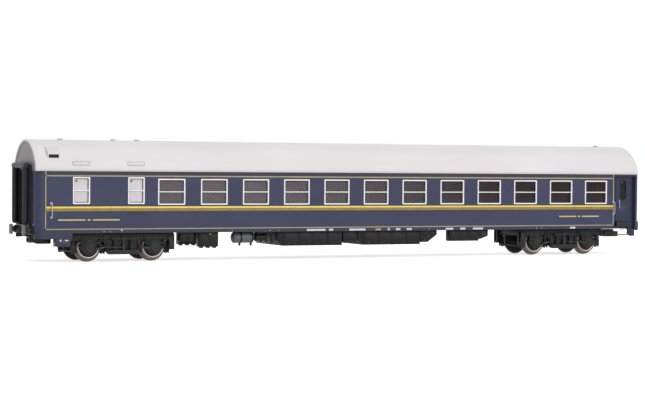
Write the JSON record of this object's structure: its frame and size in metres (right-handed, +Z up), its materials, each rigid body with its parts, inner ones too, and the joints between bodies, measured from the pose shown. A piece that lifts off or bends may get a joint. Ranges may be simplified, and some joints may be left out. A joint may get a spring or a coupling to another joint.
{
  "type": "scale model railway sleeping coach",
  "caption": "H0 scale (1:87) model of a bogie sleeping coach: hollow body with glazed windows, arched roof, underfloor gear, swivelling bogies, turning wheelsets and coupler pockets.",
  "frame": {"origin": "centre of the footprint, on the plane that touches the wheel flanges' lowest points", "axes": "+X along the coach to the end with the entrance doors, +Y across to the corridor side, +Z up"},
  "size_m": [0.3034, 0.036, 0.052],
  "materials": {
    "body_shell": "satin paint, dark blue",
    "roof": "matt paint, pale grey",
    "roof_haunches": "matt paint, pale grey",
    "roof_shoulders": "matt paint, pale grey",
    "roof_ends": "matt paint, pale grey",
    "roof_hoods": "matt paint, pale grey",
    "roof_vents": "matt paint, pale grey",
    "roof_grilles": "matt paint, pale grey",
    "underframe": "matt, black",
    "frame_castings": "matt, black",
    "ballast_plate": "plain steel",
    "compartment_walls": "matt, red-brown",
    "berths": "matt, dark red",
    "compartment_window_frames": "printed, near white",
    "corridor_window_frames": "printed, near white",
    "compartment_glazing": "clear",
    "corridor_glazing": "clear",
    "toilet_panes": "frosted, white",
    "belt_mouldings": "printed, pale gold",
    "entrance_doors": "satin paint, dark blue",
    "entrance_door_windows": "glossy, near black",
    "door_handles": "silver paint",
    "handrails": "silver paint",
    "door_steps": "matt, dark grey",
    "end_doors": "matt, dark grey",
    "front_gangway": "satin, black",
    "rear_gangway": "satin, black",
    "front_buffers": "matt, black",
    "rear_buffers": "matt, black",
    "front_draw_hook": "matt, black",
    "rear_draw_hook": "matt, black",
    "front_coupler": "matt, black",
    "rear_coupler": "matt, black",
    "filler_boxes": "satin paint, dark blue",
    "heater_boxes": "matt, dark grey",
    "battery_boxes": "matt, dark grey",
    "air_tank": "matt, grey",
    "brake_cylinders": "matt, dark grey",
    "equipment_case_1": "matt, dark grey",
    "junction_boxes": "matt, black",
    "equipment_case_2": "matt, dark grey",
    "pipe_brackets": "matt, black",
    "tool_lockers": "matt, dark grey",
    "cable_brackets": "matt, black",
    "front_bogie_screw": "plain steel",
    "rear_bogie_screw": "plain steel",
    "front_bogie_frame": "matt, black",
    "rear_bogie_frame": "matt, black",
    "front_bogie_axle_boxes": "matt, dark grey",
    "rear_bogie_axle_boxes": "matt, dark grey",
    "front_bogie_brakes": "matt, black",
    "rear_bogie_brakes": "matt, black",
    "wheels_1": "turned, browned tread",
    "wheels_2": "turned, browned tread",
    "wheels_3": "turned, browned tread",
    "wheels_4": "turned, browned tread",
    "axle_1": "dark steel",
    "axle_2": "dark steel",
    "axle_3": "dark steel",
    "axle_4": "dark steel"
  },
  "bodies": {
    "coach": {"body_shell": "body_shell", "roof": "roof", "roof_haunches": "roof_haunches", "roof_shoulders": "roof_shoulders", "roof_ends": "roof_ends", "roof_hoods": "roof_hoods", "roof_vents": "roof_vents", "roof_grilles": "roof_grilles", "underframe": "underframe", "frame_castings": "frame_castings", "ballast_plate": "ballast_plate", "compartment_walls": "compartment_walls", "berths": "berths", "compartment_window_frames": "compartment_window_frames", "corridor_window_frames": "corridor_window_frames", "compartment_glazing": "compartment_glazing", "corridor_glazing": "corridor_glazing", "toilet_panes": "toilet_panes", "belt_mouldings": "belt_mouldings", "entrance_doors": "entrance_doors", "entrance_door_windows": "entrance_door_windows", "door_handles": "door_handles", "handrails": "handrails", "door_steps": "door_steps", "end_doors": "end_doors", "front_gangway": "front_gangway", "rear_gangway": "rear_gangway", "front_buffers": "front_buffers", "rear_buffers": "rear_buffers", "front_draw_hook": "front_draw_hook", "rear_draw_hook": "rear_draw_hook", "filler_boxes": "filler_boxes", "heater_boxes": "heater_boxes", "battery_boxes": "battery_boxes", "air_tank": "air_tank", "brake_cylinders": "brake_cylinders", "equipment_case_1": "equipment_case_1", "junction_boxes": "junction_boxes", "equipment_case_2": "equipment_case_2", "pipe_brackets": "pipe_brackets", "tool_lockers": "tool_lockers", "cable_brackets": "cable_brackets", "front_bogie_screw": "front_bogie_screw", "rear_bogie_screw": "rear_bogie_screw"},
    "front_bogie": {"front_bogie_frame": "front_bogie_frame", "front_bogie_axle_boxes": "front_bogie_axle_boxes", "front_bogie_brakes": "front_bogie_brakes"},
    "rear_bogie": {"rear_bogie_frame": "rear_bogie_frame", "rear_bogie_axle_boxes": "rear_bogie_axle_boxes", "rear_bogie_brakes": "rear_bogie_brakes"},
    "wheelset_1": {"wheels_1": "wheels_1", "axle_1": "axle_1"},
    "wheelset_2": {"wheels_2": "wheels_2", "axle_2": "axle_2"},
    "wheelset_3": {"wheels_3": "wheels_3", "axle_3": "axle_3"},
    "wheelset_4": {"wheels_4": "wheels_4", "axle_4": "axle_4"},
    "front_coupler_arm": {"front_coupler": "front_coupler"},
    "rear_coupler_arm": {"rear_coupler": "rear_coupler"}
  },
  "joints": [
    {"name": "front_bogie_swivel", "type": "hinge", "parent": "coach", "child": "front_bogie", "pos_m": [-0.1092, 0, 0.0102], "axis": [0, 0, 1], "range_deg": [-15, 15]},
    {"name": "rear_bogie_swivel", "type": "hinge", "parent": "coach", "child": "rear_bogie", "pos_m": [0.1092, 0, 0.0102], "axis": [0, 0, 1], "range_deg": [-15, 15]},
    {"name": "wheelset_1_spin", "type": "hinge", "parent": "front_bogie", "child": "wheelset_1", "pos_m": [-0.12355, 0, 0.0062], "axis": [0, 1, 0], "continuous": true},
    {"name": "wheelset_2_spin", "type": "hinge", "parent": "front_bogie", "child": "wheelset_2", "pos_m": [-0.09485, 0, 0.0062], "axis": [0, 1, 0], "continuous": true},
    {"name": "wheelset_3_spin", "type": "hinge", "parent": "rear_bogie", "child": "wheelset_3", "pos_m": [0.09485, 0, 0.0062], "axis": [0, 1, 0], "continuous": true},
    {"name": "wheelset_4_spin", "type": "hinge", "parent": "rear_bogie", "child": "wheelset_4", "pos_m": [0.12355, 0, 0.0062], "axis": [0, 1, 0], "continuous": true},
    {"name": "front_coupler_swing", "type": "hinge", "parent": "coach", "child": "front_coupler_arm", "pos_m": [-0.1375, 0, 0.0108], "axis": [0, 0, 1], "range_deg": [-12, 12], "stiffness_Nm_per_rad": 0.0001},
    {"name": "rear_coupler_swing", "type": "hinge", "parent": "coach", "child": "rear_coupler_arm", "pos_m": [0.1375, 0, 0.0108], "axis": [0, 0, 1], "range_deg": [-12, 12], "stiffness_Nm_per_rad": 0.0001}
  ]
}
